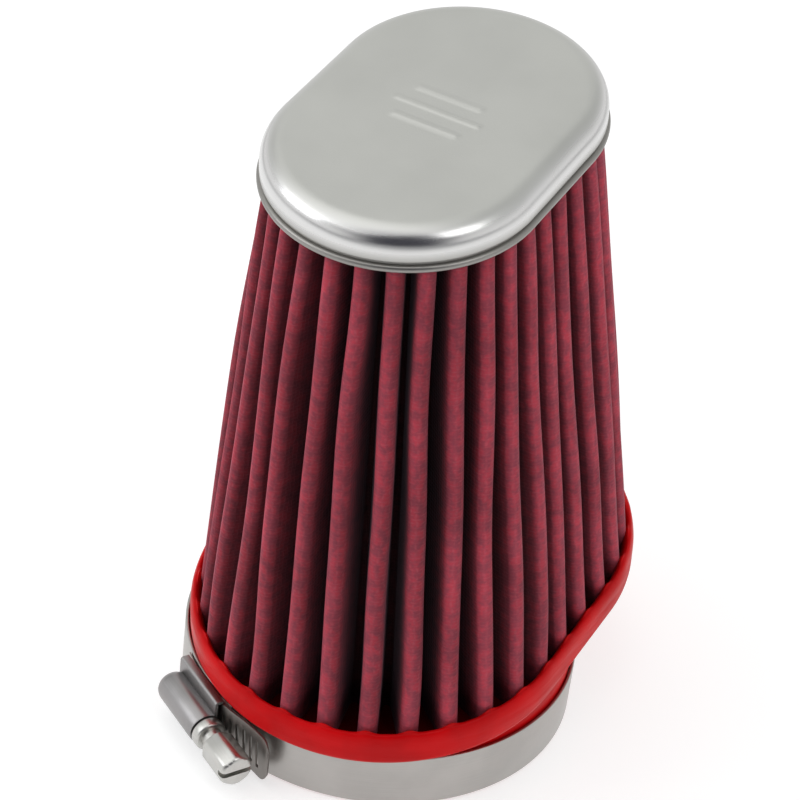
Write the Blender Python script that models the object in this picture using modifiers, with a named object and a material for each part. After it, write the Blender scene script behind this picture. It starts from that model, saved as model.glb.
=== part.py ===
"""Clamp-on oval air filter for a motorcycle intake.

The row frame stands on the mouth of the neck: origin at the centre of the mouth,
+Z up the neck's axis. The filter's own body leans on the neck, so everything above
the neck is built in the frame of the empty called body_axis.
All driving sizes are in millimetres; MM turns them into metres.
"""

import math

import bmesh
import bpy
from mathutils import Matrix, Vector

MM = 0.001

# Body: its frame in the row frame
LEAN_DEG = 8.17
BODY_X, BODY_Y, BODY_Z = 9.83, -2.43, 6.6

# End cap, an oval drawn from aluminium sheet
CAP_HALF_STRAIGHT = 11.25
CAP_RADIUS = 26.15
CAP_TOP = 136.4
CAP_HEIGHT = 8.2
CAP_EDGE = 4.1
CAP_WALL = 0.9
LIP_BEAD = 0.5
LIP_HEIGHT = 1.4

# Rim of the base moulding
BASE_HALF_STRAIGHT = 13.12
BASE_RADIUS = 39.41
RIM_TOP = 22.4
RIM_UNDERSIDE = 14.35
RIM_ROUND = 1.5
CROWN_IN = 1.1
CROWN_UP = 2.8
BED_FLOOR = 17.5
BED_GAP = 0.3

# Neck of the base moulding
NECK_RADIUS = 40.0
BORE_RADIUS = 35.0
NECK_EDGE = 0.6
NECK_INTO_RIM = 1.6
BORE_INTO_RIM = 0.6
PORT_HALF_STRAIGHT = 8.4
PORT_RADIUS = 22.8
PORT_OFFSET = -4.7

# Pleated pack: two wire cloths with the cotton between them
PLEATS = 34
FIRST_PLEAT = 0.4117
PACK_BOTTOM = 17.8
PACK_TOP = 131.6
FOOT_RADIUS = 38.0
HEAD_RADIUS = 24.75
FOOT_DEPTH = 12.6
HEAD_DEPTH = 8.2
FOOT_PLEAT_WIDTH = 3.9
HEAD_PLEAT_WIDTH = 3.3
CLOTH = 0.22
COTTON = 0.7
LAYER_GAP = 0.12
PACK_THICKNESS = COTTON + 2 * (LAYER_GAP + CLOTH)
FOLD_STEPS = 3

# Potting that seals the pack into the cap
POTTING_GAP = 0.3

# Worm-drive clamp
BAND_INNER = 40.25
BAND_THICKNESS = 0.7
BAND_LOW = 0.5
BAND_HIGH = 12.3
BAND_MIDDLE = (BAND_LOW + BAND_HIGH) / 2
CLAMP_DEG = 150.7
SADDLE_INNER = 41.1
SADDLE_THICKNESS = 0.4
SADDLE_HALF_WIDTH = 5.3
SADDLE_HALF_LENGTH = 9.2
TAIL_INNER = 41.65
TAIL_THICKNESS = 0.6
TAIL_HALF_WIDTH = 5.3
TAIL_BACK = -7.0
TAIL_FREE = 22.0
TAIL_LIFT = 2.5
TAIL_LIFT_FROM = 12.5
SLOT_PITCH = 2.0
SLOT_LENGTH = 6.4
SLOT_WIDTH = 0.9
SLOT_SLANT_DEG = 7.0
SLOTS = 13
HOUSING_LENGTH = 15.5
HOUSING_HALF_WIDTH = 6.1
HOUSING_SHEET = 0.6
RAIL_FOOT = 41.3
ROOF_INNER = 42.55
ARCH_INNER = 2.9
WORM_AXIS = 45.1
WORM_CREST = 2.6
WORM_ROOT = 1.9
WORM_PITCH = 2.0
WORM_TURNS = 7
COLLAR_RADIUS = 3.4
COLLAR_LENGTH = 2.4
SHANK_RADIUS = 2.3
SHANK_LENGTH = 2.2
HEAD_FLATS = 6.8
HEAD_LENGTH = 9.0
HEAD_EDGE = 0.6
SLOT_DEPTH = 1.8
DRIVER_SLOT = 1.1

ROUND_STEPS = 96
END_STEPS = 20


for leftover in list(bpy.data.objects):
    bpy.data.objects.remove(leftover)

CUTTERS = bpy.data.collections.new("cutters")
CUTTERS.hide_render = True
bpy.context.scene.collection.children.link(CUTTERS)


def material(name, colour, roughness, metallic):
    made = bpy.data.materials.new(name)
    made.use_nodes = True
    shader = made.node_tree.nodes["Principled BSDF"]
    shader.inputs["Base Color"].default_value = (*colour, 1.0)
    shader.inputs["Roughness"].default_value = roughness
    shader.inputs["Metallic"].default_value = metallic
    return made


ALUMINIUM = material("satin_aluminium", (0.72, 0.72, 0.70), 0.35, 1.0)
POLYURETHANE = material("red_polyurethane", (0.62, 0.02, 0.025), 0.45, 0.0)
POTTING = material("potting_compound", (0.35, 0.02, 0.03), 0.5, 0.0)
COTTON_RED = material("oiled_cotton", (0.30, 0.03, 0.05), 0.9, 0.0)
WIRE_CLOTH = material("coated_wire_cloth", (0.36, 0.06, 0.09), 0.45, 0.3)
STAINLESS = material("stainless_strip", (0.62, 0.61, 0.58), 0.32, 1.0)
SCREW_STEEL = material("plated_screw", (0.75, 0.75, 0.72), 0.22, 1.0)


def add_object(name, mesh, surface, parent=None, helper=False):
    obj = bpy.data.objects.new(name, mesh)
    if helper:
        CUTTERS.objects.link(obj)
        obj.hide_render = True
        obj.display_type = "WIRE"
    else:
        bpy.context.scene.collection.objects.link(obj)
        mesh.materials.append(surface)
    if parent is not None:
        obj.parent = parent
    return obj


def add_empty(name, location, rotation=(0.0, 0.0, 0.0), parent=None):
    empty = bpy.data.objects.new(name, None)
    empty.location = location
    empty.rotation_euler = rotation
    bpy.context.scene.collection.objects.link(empty)
    if parent is not None:
        empty.parent = parent
    return empty


def mesh_from(name, points, faces, smooth=True):
    """A closed mesh with outward normals, from points in millimetres."""
    mesh = bpy.data.meshes.new(name)
    mesh.from_pydata([Vector(p) * MM for p in points], [], faces)
    shape = bmesh.new()
    shape.from_mesh(mesh)
    bmesh.ops.recalc_face_normals(shape, faces=shape.faces)
    shape.to_mesh(mesh)
    shape.free()
    for face in mesh.polygons:
        face.use_smooth = smooth
    return mesh


def loft(name, loops, capped=True, joined=False, smooth=True, rising=None):
    """Skin between loops of equal length; joined turns the profile itself into a ring.

    rising says for each row whether its squares are split from their first corner or
    their second, so that nested twisted sheets bend alike; without it they stay whole.
    """
    count = len(loops[0])
    points = [p for loop in loops for p in loop]
    faces = []
    spans = len(loops) if joined else len(loops) - 1
    for row in range(spans):
        low = row * count
        high = ((row + 1) % len(loops)) * count
        for i in range(count):
            j = (i + 1) % count
            if rising is None:
                faces.append((low + i, low + j, high + j, high + i))
            elif rising[row]:
                faces.append((low + i, low + j, high + j))
                faces.append((low + i, high + j, high + i))
            else:
                faces.append((low + i, low + j, high + i))
                faces.append((low + j, high + j, high + i))
    if capped and not joined:
        faces.append(tuple(range(count)))
        faces.append(tuple(range((len(loops) - 1) * count, len(loops) * count)))
    return mesh_from(name, points, faces, smooth)


def boolean(obj, operation, other):
    step = obj.modifiers.new(operation.lower() + "_" + other.name, "BOOLEAN")
    step.operation = operation
    step.object = other
    step.solver = "EXACT"


def oval_loop(half_straight, radius, height, centre_x=0.0):
    """Counter-clockwise loop of the oval whose long axis is X."""
    loop = []
    for end in (1.0, -1.0):
        for step in range(END_STEPS + 1):
            angle = math.pi * step / END_STEPS - math.pi / 2
            if end < 0:
                angle += math.pi
            loop.append(
                (
                    centre_x + end * half_straight + radius * math.cos(angle),
                    radius * math.sin(angle),
                    height,
                )
            )
    return loop


def oval_frame(half_straight, radius, share):
    """Point and outward normal at a share of the way round the oval, from its +X end."""
    quarter = math.pi * radius / 2
    along = (share % 1.0) * (4 * half_straight + 4 * quarter)
    if along < quarter:
        angle = along / radius
        centre = half_straight
    elif along < quarter + 2 * half_straight:
        return Vector((half_straight - (along - quarter), radius)), Vector((0.0, 1.0))
    elif along < 3 * quarter + 2 * half_straight:
        angle = math.pi / 2 + (along - quarter - 2 * half_straight) / radius
        centre = -half_straight
    elif along < 3 * quarter + 4 * half_straight:
        back = along - 3 * quarter - 2 * half_straight
        return Vector((back - half_straight, -radius)), Vector((0.0, -1.0))
    else:
        angle = 1.5 * math.pi + (along - 3 * quarter - 4 * half_straight) / radius
        centre = half_straight
    normal = Vector((math.cos(angle), math.sin(angle)))
    return Vector((centre, 0.0)) + radius * normal, normal


BODY = add_empty(
    "body_axis",
    (BODY_X * MM, BODY_Y * MM, BODY_Z * MM),
    (0.0, -math.radians(LEAN_DEG), 0.0),
)


# ---------------------------------------------------------------- end cap
def cap_profile():
    """(offset out of the cap's outline, height) from the flat top down to the lip."""
    profile = []
    for step in range(7):
        angle = math.pi / 2 * step / 6
        profile.append(
            (-CAP_EDGE * (1 - math.sin(angle)), CAP_TOP - CAP_EDGE * (1 - math.cos(angle)))
        )
    low = CAP_TOP - CAP_HEIGHT
    profile.append((0.0, low + LIP_HEIGHT + 0.4))
    profile.append((LIP_BEAD, low + LIP_HEIGHT - 0.4))
    profile.append((LIP_BEAD, low + 0.5))
    profile.append((LIP_BEAD - 0.4, low))
    return profile


def build_end_cap():
    loops = [
        oval_loop(CAP_HALF_STRAIGHT, CAP_RADIUS + out, height)
        for out, height in cap_profile()
    ]
    count = len(loops[0])
    points = [p for loop in loops for p in loop]
    faces = [tuple(range(count))]
    for row in range(len(loops) - 1):
        for i in range(count):
            j = (i + 1) % count
            low = row * count
            high = low + count
            faces.append((low + i, high + i, high + j, low + j))
    mesh = bpy.data.meshes.new("end_cap")
    mesh.from_pydata([Vector(p) * MM for p in points], [], faces)
    for face in mesh.polygons:
        face.use_smooth = face.index > 0
    cap = add_object("end_cap", mesh, ALUMINIUM, BODY)
    sheet = cap.modifiers.new("sheet", "SOLIDIFY")
    sheet.thickness = CAP_WALL * MM
    sheet.offset = -1.0
    sheet.use_even_offset = True
    return cap


def build_cap_potting():
    low = PACK_TOP + POTTING_GAP
    inner = CAP_RADIUS - CAP_WALL - POTTING_GAP
    edge = CAP_EDGE - CAP_WALL - POTTING_GAP
    top = CAP_TOP - CAP_WALL - POTTING_GAP
    loops = [oval_loop(CAP_HALF_STRAIGHT, edge_radius(inner, edge, top, low), low)]
    for step in range(5):
        angle = math.pi / 2 * step / 4
        height = top - edge * (1 - math.sin(angle))
        if height > low:
            radius = inner - edge * (1 - math.cos(angle))
            loops.append(oval_loop(CAP_HALF_STRAIGHT, radius, height))
    add_object("cap_potting", loft("cap_potting", loops), POTTING, BODY)


def edge_radius(inner, edge, top, height):
    """Radius of the cap's inside at a height on its rounded edge."""
    above = height - (top - edge)
    if above <= 0:
        return inner
    return inner - edge + math.sqrt(edge * edge - above * above)


# ---------------------------------------------------------------- pleated pack
def pack_path(radius, half_straight, depth, width):
    """Middle line of the pleated pack at one level, as 2-D points."""
    half = (width - PACK_THICKNESS) / 2
    pitch = 1.0 / PLEATS
    path = []
    for pleat in range(PLEATS):
        share = FIRST_PLEAT + pleat * pitch
        point, normal = oval_frame(half_straight, radius, share)
        along = Vector((-normal.y, normal.x))
        tip = point - normal * (PACK_THICKNESS / 2 + half)
        for step in range(FOLD_STEPS + 1):
            angle = math.pi * step / FOLD_STEPS
            path.append(tip + half * (normal * math.sin(angle) - along * math.cos(angle)))
        following, next_normal = oval_frame(half_straight, radius, share + pitch)
        next_along = Vector((-next_normal.y, next_normal.x))
        valley_depth = depth - PACK_THICKNESS / 2
        start = point + half * along
        finish = following - half * next_along
        middle, fold_normal = oval_frame(half_straight, radius, share + pitch / 2)
        across = Vector((-fold_normal.y, fold_normal.x))
        low_start = start - normal * valley_depth
        low_finish = finish - next_normal * valley_depth
        bend = (low_finish - low_start).length / 2
        centre = (low_start + low_finish) / 2 + fold_normal * bend
        for step in range(FOLD_STEPS + 1):
            angle = math.pi * step / FOLD_STEPS
            path.append(
                centre
                - bend * (across * math.cos(angle) + fold_normal * math.sin(angle))
            )
    return path


def offset_path(path, distance):
    """The closed path moved sideways, outward for a positive distance."""
    moved = []
    count = len(path)
    for i in range(count):
        before = (path[i] - path[i - 1]).normalized()
        after = (path[(i + 1) % count] - path[i]).normalized()
        side_before = Vector((before.y, -before.x))
        side_after = Vector((after.y, -after.x))
        mean = (side_before + side_after).normalized()
        moved.append(path[i] + mean * distance / max(0.5, mean.dot(side_before)))
    return moved


FOOT_PATH = pack_path(FOOT_RADIUS, BASE_HALF_STRAIGHT, FOOT_DEPTH, FOOT_PLEAT_WIDTH)
HEAD_PATH = pack_path(HEAD_RADIUS, CAP_HALF_STRAIGHT, HEAD_DEPTH, HEAD_PLEAT_WIDTH)


def build_layer(name, outer, inner, surface, shorter):
    """One pleated sheet between two offsets of the pack's middle line."""
    low = PACK_BOTTOM + shorter
    high = PACK_TOP - shorter
    loops = []
    for path, height, offset in (
        (FOOT_PATH, low, outer),
        (HEAD_PATH, high, outer),
        (HEAD_PATH, high, inner),
        (FOOT_PATH, low, inner),
    ):
        loops.append([(p.x, p.y, height) for p in offset_path(path, offset)])
    sheet = loft(name, loops, joined=True, rising=(True, True, False, True))
    add_object(name, sheet, surface, BODY)


# ---------------------------------------------------------------- base moulding
def body_plane_height(x, y, level):
    """Row-frame height at which the vertical line through (x, y) meets a body level."""
    lean = math.radians(LEAN_DEG)
    foot_x = BODY_X - level * math.sin(lean)
    foot_z = BODY_Z + level * math.cos(lean)
    return foot_z + (x - foot_x) * math.tan(lean)


def slanted_cylinder(name, radius, low, level, edge=0.0):
    """Upright cylinder in the row frame whose top lies on a level of the leaning body."""
    rings = [(radius - edge, low)]
    if edge:
        rings.append((radius, low + edge))
    loops = []
    for ring_radius, height in rings:
        loops.append(
            [
                (ring_radius * math.cos(a), ring_radius * math.sin(a), height)
                for a in round_angles()
            ]
        )
    top = []
    for a in round_angles():
        x = radius * math.cos(a)
        y = radius * math.sin(a)
        top.append((x, y, body_plane_height(x, y, level)))
    loops.append(top)
    return loft(name, loops)


def round_angles():
    return [2 * math.pi * step / ROUND_STEPS for step in range(ROUND_STEPS)]


def build_base():
    profile = []
    for step in range(5):
        angle = math.pi / 2 * step / 4
        profile.append(
            (-RIM_ROUND * (1 - math.sin(angle)), RIM_UNDERSIDE + RIM_ROUND * (1 - math.cos(angle)))
        )
    for step in range(5):
        angle = math.pi / 2 * step / 4
        profile.append(
            (-CROWN_IN * (1 - math.cos(angle)), RIM_TOP - CROWN_UP * (1 - math.sin(angle)))
        )
    loops = [
        oval_loop(BASE_HALF_STRAIGHT, BASE_RADIUS + out, height) for out, height in profile
    ]
    loops.append(oval_loop(BASE_HALF_STRAIGHT, FOOT_RADIUS + BED_GAP, BED_FLOOR))
    base = add_object("base_flange", loft("base_flange", loops), POLYURETHANE, BODY)

    neck = add_object(
        "neck_solid",
        slanted_cylinder("neck_solid", NECK_RADIUS, 0.0, RIM_UNDERSIDE + NECK_INTO_RIM, NECK_EDGE),
        None,
        helper=True,
    )
    bore = add_object(
        "bore_cutter",
        slanted_cylinder("bore_cutter", BORE_RADIUS, -2.0, RIM_UNDERSIDE + BORE_INTO_RIM),
        None,
        helper=True,
    )
    port = add_object(
        "port_cutter",
        loft(
            "port_cutter",
            [
                oval_loop(PORT_HALF_STRAIGHT, PORT_RADIUS, RIM_UNDERSIDE - 2.0, PORT_OFFSET),
                oval_loop(PORT_HALF_STRAIGHT, PORT_RADIUS, BED_FLOOR + 2.0, PORT_OFFSET),
            ],
        ),
        None,
        BODY,
        helper=True,
    )
    boolean(base, "UNION", neck)
    boolean(base, "DIFFERENCE", bore)
    boolean(base, "DIFFERENCE", port)
    return base


# ---------------------------------------------------------------- clamp
def build_band():
    """Closed strip round the neck, turned from its cross-section."""
    outer = BAND_INNER + BAND_THICKNESS
    edge = 0.2
    section = [
        (outer - edge, BAND_HIGH),
        (outer, BAND_HIGH - edge),
        (outer, BAND_LOW + edge),
        (outer - edge, BAND_LOW),
        (BAND_INNER, BAND_LOW),
        (BAND_INNER, BAND_HIGH),
    ]
    mesh = bpy.data.meshes.new("clamp_band")
    points = [(x * MM, 0.0, z * MM) for x, z in section]
    edges = [(i, (i + 1) % len(points)) for i in range(len(points))]
    mesh.from_pydata(points, edges, [])
    band = add_object("clamp_band", mesh, STAINLESS)
    turn = band.modifiers.new("turn", "SCREW")
    turn.axis = "Z"
    turn.steps = ROUND_STEPS
    turn.render_steps = ROUND_STEPS
    turn.use_merge_vertices = True
    turn.merge_threshold = 0.00001
    turn.use_smooth_shade = False
    return band


def tail_lift(arc):
    """How far the tail's free end has sprung off the band at an arc length."""
    past = max(0.0, arc - TAIL_LIFT_FROM) / (TAIL_FREE - TAIL_LIFT_FROM)
    return TAIL_LIFT * past * past


def curved_strip(name, inner, thickness, half_width, start, finish, steps, sprung=False):
    """Strip wrapped round the neck's axis between two arc lengths from the clamp's middle."""
    middle_radius = inner + thickness / 2
    loops = []
    for step in range(steps + 1):
        arc = start + (finish - start) * step / steps
        lift = tail_lift(arc) if sprung else 0.0
        angle = math.radians(CLAMP_DEG) + arc / middle_radius
        direction = Vector((math.cos(angle), math.sin(angle)))
        loop = []
        for radius, side in (
            (inner, -half_width),
            (inner + thickness, -half_width),
            (inner + thickness, half_width),
            (inner, half_width),
        ):
            far = direction * (radius + lift)
            loop.append((far.x, far.y, BAND_MIDDLE + side))
        loops.append(loop)
    return loft(name, loops, smooth=False)


def clamp_matrix(arc=0.0, radius=WORM_AXIS, lift=0.0):
    """Frame on the clamp: X outward, Y along the strip towards the screw head, Z up."""
    angle = math.radians(CLAMP_DEG) + arc / radius
    turned = Matrix.Rotation(angle, 4, "Z")
    return turned @ Matrix.Translation(((radius + lift) * MM, 0.0, BAND_MIDDLE * MM))


def build_tail():
    tail = add_object(
        "clamp_tail",
        curved_strip(
            "clamp_tail",
            TAIL_INNER,
            TAIL_THICKNESS,
            TAIL_HALF_WIDTH,
            TAIL_BACK,
            TAIL_FREE,
            27,
            sprung=True,
        ),
        STAINLESS,
    )
    cutter_mesh = bpy.data.meshes.new("slot_cutters")
    shape = bmesh.new()
    middle = TAIL_INNER + TAIL_THICKNESS / 2
    for slot in range(SLOTS):
        arc = TAIL_BACK + 1.6 + slot * SLOT_PITCH
        place = clamp_matrix(arc, middle, tail_lift(arc)) @ Matrix.Rotation(math.radians(SLOT_SLANT_DEG), 4, "X")
        size = Matrix.Diagonal((3.0 * MM, SLOT_WIDTH * MM, SLOT_LENGTH * MM, 1.0))
        bmesh.ops.create_cube(shape, size=1.0, matrix=place @ size)
    shape.to_mesh(cutter_mesh)
    shape.free()
    cutter = add_object("slot_cutters", cutter_mesh, None, helper=True)
    boolean(tail, "DIFFERENCE", cutter)
    return tail


def housing_section():
    """Cross-section of the housing: rails, roof and the arch over the worm."""
    outer_arch = ARCH_INNER + HOUSING_SHEET
    inner_side = HOUSING_HALF_WIDTH - HOUSING_SHEET
    roof_outer = ROOF_INNER + HOUSING_SHEET
    outline = [
        (RAIL_FOOT, -HOUSING_HALF_WIDTH),
        (roof_outer, -HOUSING_HALF_WIDTH),
    ]
    outline += arch_points(outer_arch, roof_outer)
    outline += [
        (roof_outer, HOUSING_HALF_WIDTH),
        (RAIL_FOOT, HOUSING_HALF_WIDTH),
        (RAIL_FOOT, inner_side),
        (ROOF_INNER, inner_side),
    ]
    outline += list(reversed(arch_points(ARCH_INNER, ROOF_INNER)))
    outline += [(ROOF_INNER, -inner_side), (RAIL_FOOT, -inner_side)]
    return outline


def arch_points(radius, level):
    """Points of the arch over the worm that lie above a level, from -Z to +Z."""
    start = math.asin(max(-1.0, (level - WORM_AXIS) / radius))
    steps = 12
    points = []
    for step in range(steps + 1):
        angle = -(math.pi / 2 - start) + (math.pi - 2 * start) * step / steps
        points.append((WORM_AXIS + radius * math.cos(angle), radius * math.sin(angle)))
    return points


def build_housing():
    section = housing_section()
    loops = []
    for along in (-HOUSING_LENGTH / 2, HOUSING_LENGTH / 2):
        loops.append([(a - WORM_AXIS, along, b) for a, b in section])
    mesh = loft("clamp_housing", loops, smooth=False)
    housing = add_object("clamp_housing", mesh, STAINLESS)
    housing.matrix_world = clamp_matrix()
    return housing


def worm_radius(turn, angle):
    """Radius of the thread at a number of turns along the worm and an angle round it."""
    phase = (turn + angle / (2 * math.pi)) % 1.0
    ridge = max(0.0, 1.0 - abs(phase - 0.5) / 0.34)
    return WORM_ROOT + (WORM_CREST - WORM_ROOT) * min(1.0, ridge * 1.5)


def build_worm():
    """Worm, collar, shank and slotted hexagon head in one piece, along +Y."""
    around = 24
    rows_per_turn = 6
    loops = []
    start = -WORM_PITCH * WORM_TURNS / 2
    loops.append(worm_ring(1.6, start - 0.6, around))
    for row in range(WORM_TURNS * rows_per_turn + 1):
        turn = row / rows_per_turn
        fade = min(1.0, turn, WORM_TURNS - turn)
        ring = []
        for step in range(around):
            angle = 2 * math.pi * step / around
            radius = WORM_ROOT + (worm_radius(turn, angle) - WORM_ROOT) * fade
            ring.append(
                (radius * math.cos(angle), start + turn * WORM_PITCH, radius * math.sin(angle))
            )
        loops.append(ring)
    collar = HOUSING_LENGTH / 2 + 0.3
    shank = collar + COLLAR_LENGTH
    head = shank + SHANK_LENGTH
    end = head + HEAD_LENGTH
    loops.append(worm_ring(WORM_ROOT, collar, around))
    loops.append(worm_ring(COLLAR_RADIUS - 0.3, collar, around))
    loops.append(worm_ring(COLLAR_RADIUS, collar + 0.3, around))
    loops.append(worm_ring(COLLAR_RADIUS, shank - 0.3, around))
    loops.append(worm_ring(COLLAR_RADIUS - 0.3, shank, around))
    loops.append(worm_ring(SHANK_RADIUS, shank, around))
    loops.append(worm_ring(SHANK_RADIUS, head, around))
    loops.append(hexagon_ring(HEAD_FLATS / 2 - HEAD_EDGE / 2, head, around))
    loops.append(hexagon_ring(HEAD_FLATS / 2, head + HEAD_EDGE / 2, around))
    loops.append(hexagon_ring(HEAD_FLATS / 2, end - HEAD_EDGE, around))
    loops.append(hexagon_ring(HEAD_FLATS / 2 - HEAD_EDGE, end, around))
    worm = add_object("worm_screw", loft("worm_screw", loops, smooth=False), SCREW_STEEL)
    worm.matrix_world = clamp_matrix()

    cutter_mesh = bpy.data.meshes.new("driver_slot_cutter")
    shape = bmesh.new()
    size = Matrix.Diagonal((4 * HEAD_FLATS * MM, 2 * SLOT_DEPTH * MM, DRIVER_SLOT * MM, 1.0))
    bmesh.ops.create_cube(shape, size=1.0, matrix=Matrix.Translation((0.0, end * MM, 0.0)) @ size)
    shape.to_mesh(cutter_mesh)
    shape.free()
    cutter = add_object("driver_slot_cutter", cutter_mesh, None, helper=True)
    cutter.matrix_world = clamp_matrix()
    boolean(worm, "DIFFERENCE", cutter)
    return worm


def worm_ring(radius, along, around):
    ring = []
    for step in range(around):
        angle = 2 * math.pi * step / around
        ring.append((radius * math.cos(angle), along, radius * math.sin(angle)))
    return ring


def hexagon_ring(flat_radius, along, around):
    """Ring on a hexagon whose corners are slightly rounded off."""
    ring = []
    for step in range(around):
        angle = 2 * math.pi * step / around
        sector = (angle + math.pi / 6) % (math.pi / 3) - math.pi / 6
        radius = min(flat_radius / math.cos(sector), flat_radius * 1.12)
        ring.append((radius * math.cos(angle), along, radius * math.sin(angle)))
    return ring


build_end_cap()
build_cap_potting()
half_cotton = COTTON / 2
half_pack = PACK_THICKNESS / 2
build_layer("outer_wire_cloth", half_pack, half_pack - CLOTH, WIRE_CLOTH, 0.0)
build_layer("cotton_media", half_cotton, -half_cotton, COTTON_RED, 0.0)
build_layer("inner_wire_cloth", CLOTH - half_pack, -half_pack, WIRE_CLOTH, 0.0)
build_base()
build_band()
add_object(
    "clamp_saddle",
    curved_strip(
        "clamp_saddle",
        SADDLE_INNER,
        SADDLE_THICKNESS,
        SADDLE_HALF_WIDTH,
        -SADDLE_HALF_LENGTH,
        SADDLE_HALF_LENGTH,
        12,
    ),
    STAINLESS,
)
build_tail()
build_housing()
build_worm()
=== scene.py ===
"""Looks for the clamp-on oval air filter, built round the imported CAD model.

Sizes are in millimetres in the row frame, or in the frame of the filter's leaning
body where a comment says so; MM turns them into metres.
"""

import math
import random

import bmesh
import bpy
import numpy as np
from mathutils import Matrix, Vector


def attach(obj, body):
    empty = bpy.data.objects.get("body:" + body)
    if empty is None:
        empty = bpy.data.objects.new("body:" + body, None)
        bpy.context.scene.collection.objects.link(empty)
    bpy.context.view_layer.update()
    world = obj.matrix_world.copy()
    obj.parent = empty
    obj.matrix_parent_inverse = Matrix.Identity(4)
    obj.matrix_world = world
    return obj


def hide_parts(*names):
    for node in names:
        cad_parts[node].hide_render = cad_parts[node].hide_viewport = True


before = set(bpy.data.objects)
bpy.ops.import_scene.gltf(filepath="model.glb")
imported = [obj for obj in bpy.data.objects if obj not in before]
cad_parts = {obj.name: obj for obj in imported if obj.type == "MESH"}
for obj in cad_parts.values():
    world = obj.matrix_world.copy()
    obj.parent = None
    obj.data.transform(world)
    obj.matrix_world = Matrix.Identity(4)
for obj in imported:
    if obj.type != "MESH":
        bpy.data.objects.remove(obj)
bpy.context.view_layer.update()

MM = 0.001
CHANCE = random.Random(20)

# Body frame in the row frame, as in the CAD
LEAN = math.radians(8.17)
BODY = Matrix.Translation((9.83 * MM, -2.43 * MM, 6.6 * MM)) @ Matrix.Rotation(-LEAN, 4, "Y")

# End cap, in the body frame
CAP_HALF_STRAIGHT = 11.25
CAP_RADIUS = 26.15
CAP_TOP = 136.4
CAP_LOW = 128.2
CAP_EDGE = 4.1
CAP_WALL = 0.9
LIP_OUT = 0.5
LIP_HEIGHT = 1.4
RIB_HEIGHT = 0.3
RIB_LENGTHS = (13.0, 17.0, 13.0)
RIB_PITCH = 4.6
RIB_HALF_WIDTH = 0.8

# Base moulding: its rim in the body frame, its neck in the row frame
BASE_HALF_STRAIGHT = 13.12
BASE_RADIUS = 39.41
RIM_TOP = 22.4
RIM_UNDERSIDE = 14.35
RIM_ROUND = 1.5
NECK_RADIUS = 40.0
BORE_RADIUS = 35.0
PORT_HALF_STRAIGHT = 8.4
PORT_RADIUS = 22.8
PORT_OFFSET = -4.7
POCKET_FLOOR = 18.0

# Pleated pack, in the body frame
PLEATS = 34
FIRST_PLEAT = 0.4117
PACK_BOTTOM = 17.8
PACK_TOP = 131.6
FOOT_RADIUS = 38.0
HEAD_RADIUS = 24.75
FOOT_DEPTH = 12.6
HEAD_DEPTH = 8.2
FOOT_WIDTH = 3.9
HEAD_WIDTH = 3.3
CLOTH = 0.22
COTTON = 0.7
LAYER_GAP = 0.12
PACK_THICKNESS = COTTON + 2 * (LAYER_GAP + CLOTH)
ARC_STEPS = 8
WALL_STEPS = 4

# Worm-drive clamp, in the row frame
BAND_INNER = 40.25
BAND_OUTER = 40.95
BAND_LOW = 0.5
BAND_HIGH = 12.3
BAND_MIDDLE = 6.4
CLAMP_ANGLE = math.radians(150.7)
SADDLE_INNER = 41.1
TAIL_INNER = 41.65
STRIP_HALF_WIDTH = 5.3
TAIL_BACK = -7.0
TAIL_FREE = 22.0
TAIL_LIFT = 2.5
TAIL_LIFT_FROM = 12.5
SLOT_PITCH = 2.0
SLOTS = 13
HOUSING_LENGTH = 15.5
HOUSING_HALF_WIDTH = 6.1
HOUSING_SHEET = 0.6
RAIL_FOOT = 41.3
ROOF_INNER = 42.55
ARCH_INNER = 2.9
WORM_AXIS = 45.1
WORM_CREST = 2.6
WORM_ROOT = 1.9
WORM_PITCH = 2.0
WORM_TURNS = 7
COLLAR_RADIUS = 3.4
COLLAR_LENGTH = 2.4
SHANK_RADIUS = 2.3
SHANK_LENGTH = 2.2
HEAD_FLATS = 6.8
HEAD_LENGTH = 9.0
SLOT_DEPTH = 1.8
DRIVER_SLOT = 1.1

# Camera in the body frame
VIEW_AZIMUTH = math.radians(-150.89)
VIEW_ELEVATION = math.radians(42.55)
VIEW_ROLL = math.radians(2.4)
VIEW_DISTANCE = 566.7
VIEW_TARGET = (0.0, 5.26, 62.91)
VIEW_LENS = 128.49

# Direction of the unlit side of the studio, and in metres the middle of the brighter
# patch of floor and the floor's size, in the row frame
DARK_SIDE = (-0.84, -0.47, 0.26)
GLOW_CENTRE = (0.15, 0.09, 0.0)
FLOOR_SIDE = 4.0
FLOOR_STEPS = 12
FLOOR_LEVEL = -0.0002

# Softboxes: name, place and aim in metres, size in metres, power in watts, colour
WHITE = (1.0, 1.0, 1.0)
SOFTBOXES = (
    ("softbox_above", (-0.25, 0.22, 0.82), (0.0, 0.0, 0.06), (1.2, 1.0), 3.0, WHITE),
    ("softbox_left", (-0.48, 0.62, 0.48), (0.0, 0.0, 0.07), (0.5, 0.4), 1.3, (0.95, 0.96, 1.0)),
    ("softbox_back", (0.62, 0.36, 0.66), (0.0, 0.0, 0.1), (0.8, 0.7), 0.35, WHITE),
    ("softbox_right", (-0.22, -0.62, 0.72), (0.0, 0.0, 0.07), (0.4, 0.4), 1.2, WHITE),
)

# Colours of the bare metals; the lip's, the housing's and the tail's are painted shade, darker
# copies of the cap's aluminium and of the strip's steel
SATIN_DULL = (0.51, 0.51, 0.487)
SATIN_BRIGHT = (0.55, 0.55, 0.525)
POLISHED = (0.66, 0.655, 0.65)
SHADED_LIP = (0.30, 0.29, 0.275)
STRIP_COLOUR = (0.47, 0.455, 0.435)
HOUSING_PAINTED_SHADE_COLOUR = (0.33, 0.32, 0.32)
TAIL_PAINTED_SHADE_COLOUR = (0.26, 0.24, 0.225)
SCREW_COLOUR = (0.58, 0.575, 0.55)

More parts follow.
